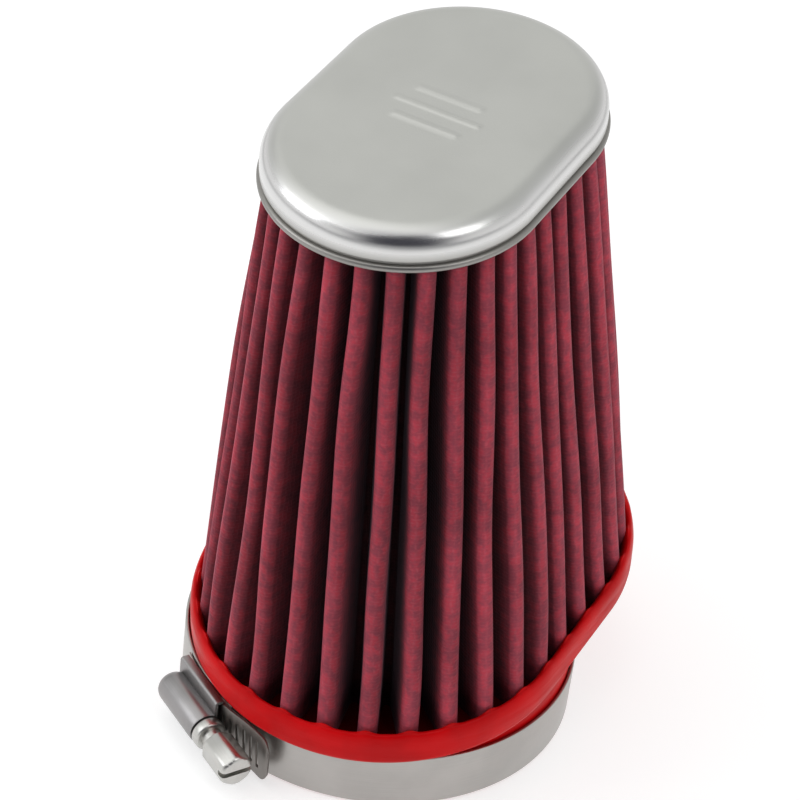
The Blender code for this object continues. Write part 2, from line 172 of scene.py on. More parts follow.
# Colours of the outer cloth: its oiled cotton and its coated wire
COTTON_DARK = (0.27, 0.046, 0.070)
COTTON_LIGHT = (0.35, 0.036, 0.055)
WIRE_DARK = (0.31, 0.042, 0.064)
WIRE_LIGHT = (0.35, 0.054, 0.078)
WIRE_PITCH = 0.9


# ---------------------------------------------------------------- shader helpers
def material(name):
    made = bpy.data.materials.new(name)
    made.use_nodes = True
    return made, made.node_tree, made.node_tree.nodes["Principled BSDF"]


def add(tree, kind, **settings):
    node = tree.nodes.new("ShaderNode" + kind)
    for key, value in settings.items():
        setattr(node, key, value)
    return node


def feed(tree, socket, value):
    if isinstance(value, bpy.types.NodeSocket):
        tree.links.new(value, socket)
    elif value is not None:
        socket.default_value = value


def calc(tree, operation, *values, clamp=False):
    node = add(tree, "Math", operation=operation, use_clamp=clamp)
    for socket, value in zip(node.inputs, values):
        feed(tree, socket, value)
    return node.outputs[0]


def ramp(tree, value, low, high, start=0.0, end=1.0):
    """value mapped from start..end to low..high with soft ends."""
    node = add(tree, "MapRange", interpolation_type="SMOOTHSTEP")
    for socket, given in zip(node.inputs, (value, start, end, low, high)):
        feed(tree, socket, given)
    return node.outputs[0]


def blend(tree, share, low, high, kind="MIX"):
    node = add(tree, "Mix", data_type="RGBA", blend_type=kind)
    feed(tree, node.inputs["Factor"], share)
    feed(tree, node.inputs["A"], (*low, 1.0) if isinstance(low, tuple) else low)
    feed(tree, node.inputs["B"], (*high, 1.0) if isinstance(high, tuple) else high)
    return node.outputs["Result"]


def noise(tree, vector, scale, detail=3.0, roughness=0.55):
    node = add(tree, "TexNoise")
    feed(tree, node.inputs["Vector"], vector)
    feed(tree, node.inputs["Scale"], scale)
    feed(tree, node.inputs["Detail"], detail)
    feed(tree, node.inputs["Roughness"], roughness)
    return node.outputs["Fac"]


def object_point(tree, stretch=(1.0, 1.0, 1.0)):
    """The point on the piece in metres, stretched along its axes."""
    place = add(tree, "TexCoord").outputs["Object"]
    mapping = add(tree, "Mapping")
    feed(tree, mapping.inputs["Vector"], place)
    mapping.inputs["Scale"].default_value = stretch
    return mapping.outputs["Vector"]


def bump(tree, shader, height, distance, strength=1.0):
    node = add(tree, "Bump")
    feed(tree, node.inputs["Height"], height)
    node.inputs["Distance"].default_value = distance * MM
    node.inputs["Strength"].default_value = strength
    feed(tree, shader.inputs["Normal"], node.outputs["Normal"])


def attribute(tree, name):
    return add(tree, "Attribute", attribute_name=name).outputs["Fac"]


def grey(tree, value):
    """A colour with the same value in its three channels."""
    node = add(tree, "CombineColor")
    for socket in node.inputs[:3]:
        feed(tree, socket, value)
    return node.outputs[0]


# ---------------------------------------------------------------- materials
def wire_cloth_material():
    """Oiled cotton seen through a fine coated wire weave, with light and shade painted across each
    fold.
    """
    made, tree, shader = material("wire_cloth")
    point = object_point(tree)
    wander = add(tree, "TexNoise")
    feed(tree, wander.inputs["Vector"], point)
    wander.inputs["Scale"].default_value = 260.0
    wander.inputs["Detail"].default_value = 2.0
    place = add(tree, "SeparateXYZ")
    moved = add(tree, "VectorMath", operation="MULTIPLY_ADD")
    feed(tree, moved.inputs[0], wander.outputs["Color"])
    moved.inputs[1].default_value = (1.1, 1.1, 0.0)
    feed(tree, moved.inputs[2], add(tree, "UVMap").outputs["UV"])
    feed(tree, place.inputs[0], moved.outputs[0])
    across = calc(tree, "DIVIDE", place.outputs[0], WIRE_PITCH)
    up = calc(tree, "DIVIDE", place.outputs[1], WIRE_PITCH)

    def wires(along, other, phase):
        """Height of one set of wires, each over and under the other set."""
        swing = calc(tree, "COSINE", calc(tree, "MULTIPLY", along, 2 * math.pi))
        body = calc(tree, "MULTIPLY_ADD", swing, -0.5, 0.5)
        number = calc(tree, "FLOOR", along)
        turn = calc(tree, "MULTIPLY", calc(tree, "ADD", other, number), math.pi)
        wave = calc(tree, "SINE", calc(tree, "ADD", turn, phase))
        lift = calc(tree, "MULTIPLY_ADD", wave, 0.3, 0.7)
        return calc(tree, "MULTIPLY", calc(tree, "POWER", body, 1.6), lift)

    height = calc(tree, "MAXIMUM", wires(across, up, 0.0), wires(up, across, math.pi))
    speckle = noise(tree, point, 900.0, 2.0, 0.6)
    blotch = noise(tree, point, 480.0, 3.0, 0.6)
    patch = noise(tree, point, 60.0, 2.0, 0.5)
    cotton = blend(tree, ramp(tree, blotch, 0.0, 1.0, 0.35, 0.65), COTTON_DARK, COTTON_LIGHT)
    worn = blend(tree, ramp(tree, speckle, 0.0, 1.0, 0.4, 0.6), WIRE_DARK, WIRE_LIGHT)
    colour = blend(tree, ramp(tree, height, 0.0, 0.7, 0.3, 1.0), cotton, worn)
    uneven = ramp(tree, patch, 0.84, 1.16, 0.3, 0.7)
    tone = calc(tree, "MULTIPLY", uneven, ramp(tree, blotch, 0.86, 1.12, 0.35, 0.65))
    # Painted light and shade across each fold, from the mesh, times the oil's uneven tone
    shade = attribute(tree, "painted_fold_shade")
    oil_and_painted_shade = grey(tree, calc(tree, "MULTIPLY", tone, shade))
    feed(tree, shader.inputs["Base Color"], blend(tree, 1.0, colour, oil_and_painted_shade, "MULTIPLY"))
    weave_gloss = ramp(tree, height, 1.0, 0.84, 0.2, 0.8)
    gloss = calc(tree, "MULTIPLY_ADD", shade, -0.12, weave_gloss, clamp=True)
    feed(tree, shader.inputs["Roughness"], gloss)
    shader.inputs["Specular IOR Level"].default_value = 0.2
    shader.inputs["Sheen Weight"].default_value = 0.08
    shader.inputs["Sheen Roughness"].default_value = 0.4
    shader.inputs["Sheen Tint"].default_value = (0.9, 0.75, 0.9, 1.0)
    rough = calc(tree, "MULTIPLY_ADD", speckle, 0.4, height)
    bump(tree, shader, rough, 0.07, 0.6)
    return made


def cotton_material():
    """Oiled gauze: a fine plain weave with fluff and uneven oil."""
    made, tree, shader = material("oiled_cotton")
    place = add(tree, "SeparateXYZ")
    feed(tree, place.inputs[0], add(tree, "UVMap").outputs["UV"])
    threads = []
    for axis in (0, 1):
        turn = calc(tree, "MULTIPLY", place.outputs[axis], 2 * math.pi / 0.8)
        threads.append(calc(tree, "SINE", turn))
    weave = calc(tree, "MULTIPLY", threads[0], threads[1])
    point = object_point(tree)
    oil = noise(tree, point, 120.0, 3.0)
    fluff = noise(tree, point, 1500.0, 2.0)
    oil_and_painted_shade = ramp(tree, oil, 0.0, 1.0, 0.3, 0.7)
    tint = blend(tree, oil_and_painted_shade, (0.16, 0.008, 0.02), (0.33, 0.03, 0.055))
    shade = grey(tree, ramp(tree, weave, 0.75, 1.15, -1.0, 1.0))
    feed(tree, shader.inputs["Base Color"], blend(tree, 1.0, tint, shade, "MULTIPLY"))
    feed(tree, shader.inputs["Roughness"], ramp(tree, oil, 0.95, 0.7, 0.3, 0.7))
    shader.inputs["Sheen Weight"].default_value = 0.3
    bump(tree, shader, calc(tree, "MULTIPLY_ADD", fluff, 0.8, weave), 0.12, 0.8)
    return made


def polyurethane_material(name, light, dark):
    """Moulded polyurethane: satin skin with small pits and slight flow marks, and shade painted
    wherever the mesh marks a pocket.
    """
    made, tree, shader = material(name)
    point = object_point(tree)
    cloud = noise(tree, point, 70.0, 3.0)
    grain = noise(tree, point, 1400.0, 2.0)
    flow = noise(tree, object_point(tree, (60.0, 60.0, 500.0)), 1.0, 3.0)
    colour = blend(tree, ramp(tree, cloud, 0.0, 1.0, 0.35, 0.65), dark, light)
    # Painted shade on the pocket's bed, from the mesh
    painted_pocket_shade = tuple(0.12 * part for part in dark)
    feed(tree, shader.inputs["Base Color"], blend(tree, attribute(tree, "pocket"), colour, painted_pocket_shade))
    feed(tree, shader.inputs["Roughness"], ramp(tree, flow, 0.34, 0.52, 0.3, 0.7))
    shader.inputs["Specular IOR Level"].default_value = 0.08
    mixed = calc(tree, "MULTIPLY_ADD", flow, 1.6, calc(tree, "MULTIPLY", grain, 0.5))
    bump(tree, shader, mixed, 0.08, 0.6)
    return made


def cap_material():
    """Satin aluminium sheet, blasted on the flat and polished on the edge, with painted shade on
    the skirt and darker painted shade on the lip.
    """
    made, tree, shader = material("cap_aluminium")
    point = object_point(tree)
    blast = noise(tree, point, 2600.0, 2.0)
    cloud = noise(tree, point, 38.0, 3.0)
    polish = attribute(tree, "polish")
    colour = blend(tree, ramp(tree, cloud, 0.0, 1.0, 0.3, 0.7), SATIN_DULL, SATIN_BRIGHT)
    colour = blend(tree, polish, colour, POLISHED)
    # Painted shade on the skirt and the lip, from the mesh
    colour = blend(tree, attribute(tree, "dull_and_painted_shade"), colour, SHADED_LIP)
    feed(tree, shader.inputs["Base Color"], colour)
    shader.inputs["Metallic"].default_value = 1.0
    satin = ramp(tree, cloud, 0.40, 0.46, 0.3, 0.7)
    smooth = ramp(tree, cloud, 0.22, 0.29, 0.3, 0.7)
    mixed = add(tree, "Mix", data_type="FLOAT")
    feed(tree, mixed.inputs["Factor"], polish)
    feed(tree, mixed.inputs["A"], satin)
    feed(tree, mixed.inputs["B"], smooth)
    feed(tree, shader.inputs["Roughness"], mixed.outputs["Result"])
    shallow = calc(tree, "MULTIPLY", blast, calc(tree, "MULTIPLY_ADD", polish, -0.85, 1.0))
    bump(tree, shader, shallow, 0.03, 0.5)
    return made


def steel_material(name, colour, low, high, along):
    """Rolled or turned steel with fine marks along one direction of its UV map."""
    made, tree, shader = material(name)
    mapping = add(tree, "Mapping")
    feed(tree, mapping.inputs["Vector"], add(tree, "UVMap").outputs["UV"])
    mapping.inputs["Scale"].default_value = (0.05, 9.0, 1.0) if along == 0 else (9.0, 0.05, 1.0)
    marks = noise(tree, mapping.outputs["Vector"], 1.0, 4.0, 0.7)
    cloud = noise(tree, object_point(tree), 90.0, 3.0)
    dull_and_painted_shade = tuple(0.84 * part for part in colour)
    shade = calc(tree, "MULTIPLY_ADD", marks, 0.5, calc(tree, "MULTIPLY", cloud, 0.5))
    shown = blend(tree, ramp(tree, shade, 0.0, 1.0, 0.35, 0.65), dull_and_painted_shade, colour)
    feed(tree, shader.inputs["Base Color"], shown)
    shader.inputs["Metallic"].default_value = 1.0
    feed(tree, shader.inputs["Roughness"], ramp(tree, shade, low, high, 0.3, 0.7))
    bump(tree, shader, marks, 0.02, 0.5)
    return made


def floor_material():
    """Pale floor that glows, less far away and least on the dark side of the room."""
    made, tree, shader = material("pale_floor")
    point = object_point(tree)
    cloud = noise(tree, point, 3.0, 2.0)
    towards_dark = add(tree, "VectorMath", operation="DOT_PRODUCT")
    feed(tree, towards_dark.inputs[0], point)
    towards_dark.inputs[1].default_value = DARK_SIDE
    lit = ramp(tree, towards_dark.outputs["Value"], 1.0, 0.0, 0.16, 0.50)
    distance = add(tree, "VectorMath", operation="DISTANCE")
    feed(tree, distance.inputs[0], point)
    distance.inputs[1].default_value = GLOW_CENTRE
    near = ramp(tree, distance.outputs["Value"], 0.55, 0.18, 0.38, 0.85)
    pale = blend(tree, cloud, (0.50, 0.50, 0.50), (0.53, 0.53, 0.53))
    feed(tree, shader.inputs["Base Color"], blend(tree, lit, (0.42, 0.42, 0.43), pale))
    shader.inputs["Roughness"].default_value = 0.9
    shader.inputs["Specular IOR Level"].default_value = 0.1
    shader.inputs["Emission Color"].default_value = (1.0, 1.0, 1.0, 1.0)
    feed(tree, shader.inputs["Emission Strength"], calc(tree, "MULTIPLY_ADD", lit, near, 0.07))
    return made


# ---------------------------------------------------------------- mesh helpers
def oval(half_straight, radius, shares):
    """Points and outward normals at shares of the way round an oval, from its +X end."""
    shares = np.mod(shares, 1.0)
    quarter = math.pi * radius / 2
    along = shares * (4 * half_straight + 4 * quarter)
    marks = np.cumsum([quarter, 2 * half_straight, 2 * quarter, 2 * half_straight])
    part = [along < mark for mark in marks]
    angle = np.select(
        part,
        [
            along / radius,
            np.full_like(along, math.pi / 2),
            math.pi / 2 + (along - marks[1]) / radius,
            np.full_like(along, 1.5 * math.pi),
        ],
        1.5 * math.pi + (along - marks[3]) / radius,
    )
    centre = np.select(
        part,
        [
            np.full_like(along, half_straight),
            half_straight - (along - marks[0]),
            np.full_like(along, -half_straight),
            along - marks[2] - half_straight,
        ],
        half_straight,
    )
    normal = np.stack([np.cos(angle), np.sin(angle)], axis=-1)
    point = radius * normal
    point[..., 0] += centre
    return point, normal


def moved_out(point, normal, out):
    """Points moved along their normals, by one distance or by one for each point."""
    return point + np.broadcast_to(out, point.shape[:1])[:, None] * normal


def level_row(points, height):
    """2-D points at a height, or at one height for each point."""
    heights = np.broadcast_to(height, points.shape[:1])
    return np.column_stack([points, heights])


def skin(name, rows, closed=False, caps=True, uv=None, sharp=40.0, values=None, seam=0.0):
    """Mesh over rows of points that run round the piece.

    closed joins the last row to the first; caps fills the first and the last row; uv
    gives for each row the (u, v) of each point, with seam added to u past the last point;
    values is a named number for each point.
    """
    rows = np.asarray(rows, float)
    count, columns = rows.shape[:2]
    across = np.arange(columns)
    following = (across + 1) % columns
    low = np.arange(count if closed else count - 1)[:, None]
    high = (low + 1) % count
    quads = np.stack(
        [
            low * columns + across,
            low * columns + following,
            high * columns + following,
            high * columns + across,
        ],
        axis=-1,
    ).reshape(-1, 4)
    faces = quads.tolist()
    if caps and not closed:
        faces.append(list(range(columns))[::-1])
        faces.append(list(range((count - 1) * columns, count * columns)))
    mesh = bpy.data.meshes.new(name)
    mesh.from_pydata((rows.reshape(-1, 3) * MM).tolist(), [], faces)
    if uv is not None:
        flat = np.asarray(uv, float).reshape(-1, 2)
        corners = np.concatenate([np.asarray(face) for face in faces])
        table = flat[corners]
        wraps = np.tile(across == columns - 1, len(low))
        past = np.repeat(wraps, 4) & np.tile([False, True, True, False], len(quads))
        table[: len(past), 0] += np.where(past, seam, 0.0)
        layer = mesh.uv_layers.new(name="UVMap")
        layer.data.foreach_set("uv", table.ravel())
    for key, numbers in (values or {}).items():
        made = mesh.attributes.new(key, "FLOAT", "POINT")
        made.data.foreach_set("value", np.asarray(numbers, np.float32).ravel())
    finish_mesh(mesh, sharp)
    return mesh


def finish_mesh(mesh, sharp):
    shape = bmesh.new()
    shape.from_mesh(mesh)
    bmesh.ops.remove_doubles(shape, verts=shape.verts, dist=0.002 * MM)
    bmesh.ops.recalc_face_normals(shape, faces=shape.faces)
    shape.to_mesh(mesh)
    shape.free()
    mesh.shade_smooth()
    mesh.set_sharp_from_angle(angle=math.radians(sharp))
    mesh.update()


def show(name, mesh, surface, body, nodes, place=None):
    """Puts a finished piece in the scene in the place of its CAD nodes."""
    if place is not None:
        mesh.transform(place)
    obj = bpy.data.objects.new(name, mesh)
    bpy.context.scene.collection.objects.link(obj)
    mesh.materials.clear()
    mesh.materials.append(surface)
    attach(obj, body)
    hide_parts(*nodes)
    return obj


def carved(mesh, steps, sharp, place=None):
    """The mesh after a chain of Booleans with (operation, mesh, place) steps."""
    scene = bpy.context.scene
    made = []

    def stand_in(name, data, matrix):
        obj = bpy.data.objects.new(name, data)
        scene.collection.objects.link(obj)
        if matrix is not None:
            obj.matrix_world = matrix
        made.append(obj)
        return obj

    work = stand_in("work", mesh, place)
    for number, (operation, cutter, matrix) in enumerate(steps):
        modifier = work.modifiers.new("step%d" % number, "BOOLEAN")
        modifier.operation = operation
        modifier.solver = "EXACT"
        modifier.object = stand_in("cutter%d" % number, cutter, matrix)
    bpy.context.view_layer.update()
    graph = bpy.context.evaluated_depsgraph_get()
    result = bpy.data.meshes.new_from_object(work.evaluated_get(graph))
    for obj in made:
        bpy.data.objects.remove(obj)
    result.shade_smooth()
    result.set_sharp_from_angle(angle=math.radians(sharp))
    return result


def turned(name, profile, steps, closed=True, sharp=40.0):
    """Solid of revolution round Z from (radius, height) points."""
    angles = np.arange(steps) * 2 * math.pi / steps
    rows = []
    uv = []
    along = 0.0
    widest = max(radius for radius, _ in profile)
    for number, (radius, height) in enumerate(profile):
        if number:
            along += math.dist(profile[number - 1], profile[number])
        rows.append(
            np.column_stack(
                [radius * np.cos(angles), radius * np.sin(angles), np.full(steps, height)]
            )
        )
        uv.append(np.column_stack([angles * widest, np.full(steps, along)]))
    seam = 2 * math.pi * widest
    return skin(name, rows, closed=closed, uv=uv, sharp=sharp, seam=seam)


def rounded_box(low_a, high_a, low_b, high_b, radius, steps=3):
    """Outline of a rectangle with round corners, as (a, b) points."""
    outline = []
    corners = (
        (high_a, high_b, 0.0),
        (low_a, high_b, 0.5),
        (low_a, low_b, 1.0),
        (high_a, low_b, 1.5),
    )
    for a, b, start in corners:
        centre_a = a - math.copysign(radius, a - (low_a + high_a) / 2)
        centre_b = b - math.copysign(radius, b - (low_b + high_b) / 2)
        for step in range(steps + 1):
            angle = math.pi * (start + 0.5 * step / steps)
            outline.append(
                (centre_a + radius * math.cos(angle), centre_b + radius * math.sin(angle))
            )
    return outline


# ---------------------------------------------------------------- end cap
def cap_outline(radius, columns):
    """Points of the cap's oval moved in or out to a radius, with even angles at the ends."""
    shares = np.arange(columns) / columns
    point, normal = oval(CAP_HALF_STRAIGHT, CAP_RADIUS, shares)
    return point + (radius - CAP_RADIUS) * normal


def rib_height(points):
    """Three plain stamped ribs across the middle of the cap."""
    raised = np.zeros(len(points))
    for number, length in enumerate(RIB_LENGTHS):
        middle = (number - 1) * RIB_PITCH
        along = np.clip(points[:, 1], -length / 2, length / 2)
        off = np.hypot(points[:, 0] - middle, points[:, 1] - along)
        raised = np.maximum(raised, 0.5 + 0.5 * np.cos(np.pi * np.clip(off / RIB_HALF_WIDTH, 0, 1)))
    return RIB_HEIGHT * raised


def build_cap():
    columns = 336
    flat = CAP_RADIUS - CAP_EDGE
    rows = []
    polish = []
    for radius in np.linspace(0.0, flat, 52):
        points = cap_outline(radius, columns)
        dish = 0.12 * (1 - (radius / flat) ** 2)
        rows.append(level_row(points, CAP_TOP - 0.02 - dish + rib_height(points)))
        polish.append(np.zeros(columns))
    profile = []
    edge_foot = CAP_TOP - CAP_EDGE
    for step in range(1, 11):
        angle = math.pi / 2 * step / 10
        out = flat + CAP_EDGE * math.sin(angle)
        profile.append((out, CAP_TOP - CAP_EDGE * (1 - math.cos(angle))))
    crease = CAP_LOW + LIP_HEIGHT + 0.25
    for out, rise in ((0.0, 0.75), (-0.05, 0.4), (-0.45, 0.1), (-0.4, -0.2)):
        profile.append((CAP_RADIUS + out, crease + rise))
    bead = 0.68
    bead_out = 0.5
    for step in range(9):
        angle = math.pi * (0.5 - step / 8)
        out = CAP_RADIUS + LIP_OUT - bead_out + bead_out * math.cos(angle)
        profile.append((out, CAP_LOW + bead + bead * math.sin(angle)))
    inner = CAP_RADIUS - CAP_WALL
    profile += [(inner, CAP_LOW + 0.25), (inner, edge_foot)]
    inside_edge = CAP_EDGE - CAP_WALL
    for step in range(1, 5):
        angle = math.pi / 2 * (1 - step / 4)
        out = inner - inside_edge * (1 - math.sin(angle))
        profile.append((out, edge_foot + inside_edge * math.cos(angle)))
    for radius, height in profile:
        rows.append(level_row(cap_outline(radius, columns), height))
        dropped = (CAP_TOP - height) / CAP_EDGE
        shine = min(1.0, max(0.0, 3.0 * dropped)) if dropped < 1.02 else 0.2
        polish.append(np.full(columns, shine))
    for radius in np.linspace(inner - inside_edge, 0.0, 8)[1:]:
        rows.append(level_row(cap_outline(radius, columns), CAP_TOP - CAP_WALL))
        polish.append(np.zeros(columns))
    # Painted shade: part way on everything below the rounded edge, full on the lip and its crease
    lip_top = crease + 0.3
    dull_and_painted_shade = []
    for row in rows:
        height = row[0][2]
        share = 0.0
        if height < edge_foot:
            share = 0.45
        if height < lip_top:
            share = 1.0
        dull_and_painted_shade.append(np.full(columns, share))
    values = {"polish": polish, "dull_and_painted_shade": dull_and_painted_shade}
    mesh = skin("end_cap", rows, caps=False, values=values, sharp=55.0)
    show("end_cap_drawn", mesh, CAP_METAL, "filter", ["end_cap"], BODY)


def build_potting():
    columns = 168
    shares = np.arange(columns) / columns
    inner = CAP_RADIUS - CAP_WALL - 0.3
    point, normal = oval(CAP_HALF_STRAIGHT, inner, shares)
    rows = []
    sag = 0.25 * np.cos(2 * math.pi * PLEATS * (shares - FIRST_PLEAT))
    for out, height in ((-16.0, 129.5), (-8.5, 129.5), (-1.5, 129.3), (-0.4, 129.6)):
        rows.append(level_row(point + out * normal, height + (sag if out > -9 else 0.0)))
    for out, height in ((0.0, 130.2), (0.0, 132.3), (-0.85, 134.35), (-2.9, 135.2)):
        rows.append(level_row(point + out * normal, height))
    mesh = skin("potting", rows, sharp=50.0)
    show("cap_potting_poured", mesh, POTTING, "filter", ["cap_potting"], BODY)


# ---------------------------------------------------------------- pleated pack
def fold_outline(radius, half_straight, depth, width):
    """Middle line of the pleats at one level: an array of pleat, column, (x, y)."""
    half = (width - PACK_THICKNESS) / 2
    shares = FIRST_PLEAT + np.arange(PLEATS) / PLEATS
    point, normal = oval(half_straight, radius, shares)
    _, fold_normal = oval(half_straight, radius, shares + 0.5 / PLEATS)

    def sideways(vectors):
        return np.stack([-vectors[:, 1], vectors[:, 0]], axis=-1)

    along = sideways(normal)
    tip = point - normal * (PACK_THICKNESS / 2 + half)
    angles = np.linspace(0.0, math.pi, ARC_STEPS + 1)[None, :, None]
    ridge = tip[:, None] + half * (
        normal[:, None] * np.sin(angles) - along[:, None] * np.cos(angles)
    )
    next_point = np.roll(point, -1, axis=0)
    next_normal = np.roll(normal, -1, axis=0)
    valley_depth = depth - PACK_THICKNESS / 2
    low_start = point + half * along - normal * valley_depth
    low_finish = next_point - half * sideways(next_normal) - next_normal * valley_depth
    bend = np.linalg.norm(low_finish - low_start, axis=1)[:, None] / 2
    centre = (low_start + low_finish) / 2 + fold_normal * bend
    across = sideways(fold_normal)
    valley = centre[:, None] - bend[:, None] * (
        across[:, None] * np.cos(angles) + fold_normal[:, None] * np.sin(angles)
    )
    next_ridge = np.roll(ridge, -1, axis=0)
    parts = np.arange(1, WALL_STEPS)[None, :, None] / WALL_STEPS
    down = ridge[:, -1:] + (valley[:, :1] - ridge[:, -1:]) * parts
    up = valley[:, -1:] + (next_ridge[:, :1] - valley[:, -1:]) * parts
    return np.concatenate([ridge, down, valley, up], axis=1), normal, along


FOOT, FOLD_NORMAL, FOLD_ALONG = fold_outline(
    FOOT_RADIUS, BASE_HALF_STRAIGHT, FOOT_DEPTH, FOOT_WIDTH
)
HEAD, _, _ = fold_outline(HEAD_RADIUS, CAP_HALF_STRAIGHT, HEAD_DEPTH, HEAD_WIDTH)
WALL_PARTS = np.arange(1, WALL_STEPS) / WALL_STEPS
FOLD_DEPTH = np.concatenate(
    [np.zeros(ARC_STEPS + 1), WALL_PARTS, np.ones(ARC_STEPS + 1), WALL_PARTS[::-1]]
)
# Painted light and shade of the cloth along one fold, as a brightness for each point: its ridge,
# the fall, the valley and the rise. The ridge is brightest on one flank and the valley near black,
# the same all round the pack
PAINTED_SHADE_RIDGE = [0.62, 1.0, 1.2, 1.16, 1.02, 0.84, 0.68, 0.54, 0.44]
PAINTED_SHADE_FALL = [0.38, 0.30, 0.20]
PAINTED_SHADE_RISE = [0.08, 0.12, 0.24]
PAINTED_SHADE_VALLEY = np.full(ARC_STEPS + 1, 0.07)
PAINTED_FOLD_SHADE = np.concatenate([PAINTED_SHADE_RIDGE, PAINTED_SHADE_FALL, PAINTED_SHADE_VALLEY, PAINTED_SHADE_RISE])


def sway(spread):
    """For each pleat, random heights of the waves along its length."""
    return np.array([[CHANCE.gauss(0, size) for size in spread] for _ in range(PLEATS)])


SIDE_SWAY = sway((0.42, 0.26, 0.16, 0.1, 0.07))
OUT_SWAY = sway((0.22, 0.12, 0.08, 0.05, 0.04))
OUT_SWAY[:, 0] += 0.3
HARMONICS = np.arange(1, 6)
MEAN_PATH = ((FOOT + HEAD) / 2).reshape(-1, 2)
STEP_LENGTHS = np.linalg.norm(np.diff(MEAN_PATH, axis=0), axis=1)
PATH_LENGTH = np.concatenate([[0.0], np.cumsum(STEP_LENGTHS)])
PATH_CLOSED = PATH_LENGTH[-1] + np.linalg.norm(MEAN_PATH[0] - MEAN_PATH[-1])


def pleat_path(level):
    """Middle line of the pack at a level, 0 at its foot and 1 at its head."""
    waves = np.sin(math.pi * HARMONICS * level)
    side = SIDE_SWAY @ waves
    out = OUT_SWAY @ waves
    move = FOLD_ALONG * side[:, None] + FOLD_NORMAL * out[:, None]
    held = 1.0 - 0.75 * FOLD_DEPTH
    own = move[:, None] * held[None, :, None]
    following = np.roll(move, -1, axis=0)[:, None] * held[None, :, None]
    second = np.arange(len(FOLD_DEPTH)) >= len(FOLD_DEPTH) - len(WALL_PARTS)
    shift = np.where(second[None, :, None], following, own)
    middle = (FOLD_DEPTH == 1.0)[None, :, None]
    shift = np.where(middle, 0.125 * (move + np.roll(move, -1, axis=0))[:, None], shift)
    path = (1 - level) * FOOT + level * HEAD + shift
    return path.reshape(-1, 2)


def offset_path(path, distance):
    """The closed path moved sideways, outward for a positive distance."""
    before = path - np.roll(path, 1, axis=0)
    after = np.roll(path, -1, axis=0) - path
    before /= np.linalg.norm(before, axis=1)[:, None]
    after /= np.linalg.norm(after, axis=1)[:, None]
    side_before = np.stack([before[:, 1], -before[:, 0]], axis=-1)
    side_after = np.stack([after[:, 1], -after[:, 0]], axis=-1)
    mean = side_before + side_after
    mean /= np.linalg.norm(mean, axis=1)[:, None]
    stretch = np.maximum(0.5, (mean * side_before).sum(axis=1))
    return path + mean * (distance / stretch)[:, None]


def build_sheet(name, node, faces, row_counts, surface):
    """One pleated sheet between two offsets of the pack's middle line."""
    outer, inner = faces
    rows_out, rows_in = row_counts
    levels = [(level, outer) for level in np.linspace(0, 1, rows_out)]
    levels += [(level, inner) for level in np.linspace(1, 0, rows_in)]
    rows = []
    uv = []
    for level, offset in levels:
        height = PACK_BOTTOM + (PACK_TOP - PACK_BOTTOM) * level
        path = offset_path(pleat_path(level), offset)
        rows.append(level_row(path, height))
        uv.append(np.column_stack([PATH_LENGTH, np.full(len(path), height)]))
    # Painted light and shade for every point, fold by fold
    painted_fold_shade = np.tile(PAINTED_FOLD_SHADE, PLEATS * len(rows))
    values = {"painted_fold_shade": painted_fold_shade}
    mesh = skin(name, rows, closed=True, uv=uv, sharp=70.0, values=values, seam=PATH_CLOSED)
    show(name, mesh, surface, "filter", [node], BODY)


def build_pack():
    half_cotton = COTTON / 2
    half_pack = PACK_THICKNESS / 2
    under = half_pack - CLOTH
    build_sheet(
        "pleats_outer_cloth", "outer_wire_cloth", (half_pack, under), (44, 14), WIRE
    )
    build_sheet(
        "pleats_cotton", "cotton_media", (half_cotton, -half_cotton), (16, 16), GAUZE
    )
    build_sheet(
        "pleats_inner_cloth", "inner_wire_cloth", (-under, -half_pack), (14, 20), WIRE
    )


# ---------------------------------------------------------------- base moulding
def body_plane_height(x, level):
    """Row-frame height at which a vertical line at x meets a level of the leaning body."""
    foot = BODY @ Vector((0.0, 0.0, level * MM)) / MM
    return foot.z + (x - foot.x) * math.tan(LEAN)


def leaning_cylinder(name, profile, radius, level, steps=192):
    """Upright cylinder in the row frame whose top lies on a level of the leaning body."""
    angles = np.arange(steps) * 2 * math.pi / steps
    round_points = np.column_stack([np.cos(angles), np.sin(angles)])
    rows = [level_row(ring * round_points, height) for ring, height in profile]
    top = radius * round_points
    rows.append(level_row(top, body_plane_height(top[:, 0], level)))
    return skin(name, rows)


